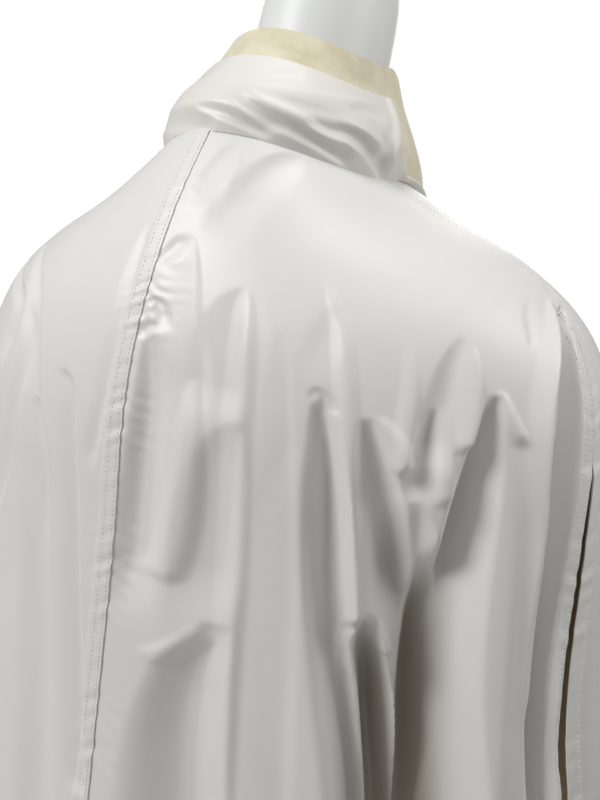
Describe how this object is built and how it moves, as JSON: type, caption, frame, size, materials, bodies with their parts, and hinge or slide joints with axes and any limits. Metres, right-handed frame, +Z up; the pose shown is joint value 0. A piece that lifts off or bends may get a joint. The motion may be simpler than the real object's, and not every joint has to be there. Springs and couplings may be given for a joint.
{
  "type": "stand-collar rain cape on a dress form",
  "caption": "Loose off-white rain cape with a layered stand collar, felled centre-back seam and open arm slits, resting on a limbless dress form with a pole and round base.",
  "frame": {"origin": "centre of the round base's underside", "axes": "+Z up, +Y towards the cape's back, +X towards the wearer's left"},
  "size_m": [0.8207, 0.5776, 1.571],
  "materials": {
    "shell": "glossy tightly woven coated microfibre",
    "collar_nap": "matt brushed nap",
    "form": "satin",
    "steel": "brushed"
  },
  "bodies": {
    "root": {"back_left": "shell", "back_right": "shell", "front_left": "shell", "front_right": "shell", "collar_outer": "shell", "collar_inner": "collar_nap", "form_torso": "form", "form_pole": "steel", "form_base": "steel"}
  },
  "joints": []
}
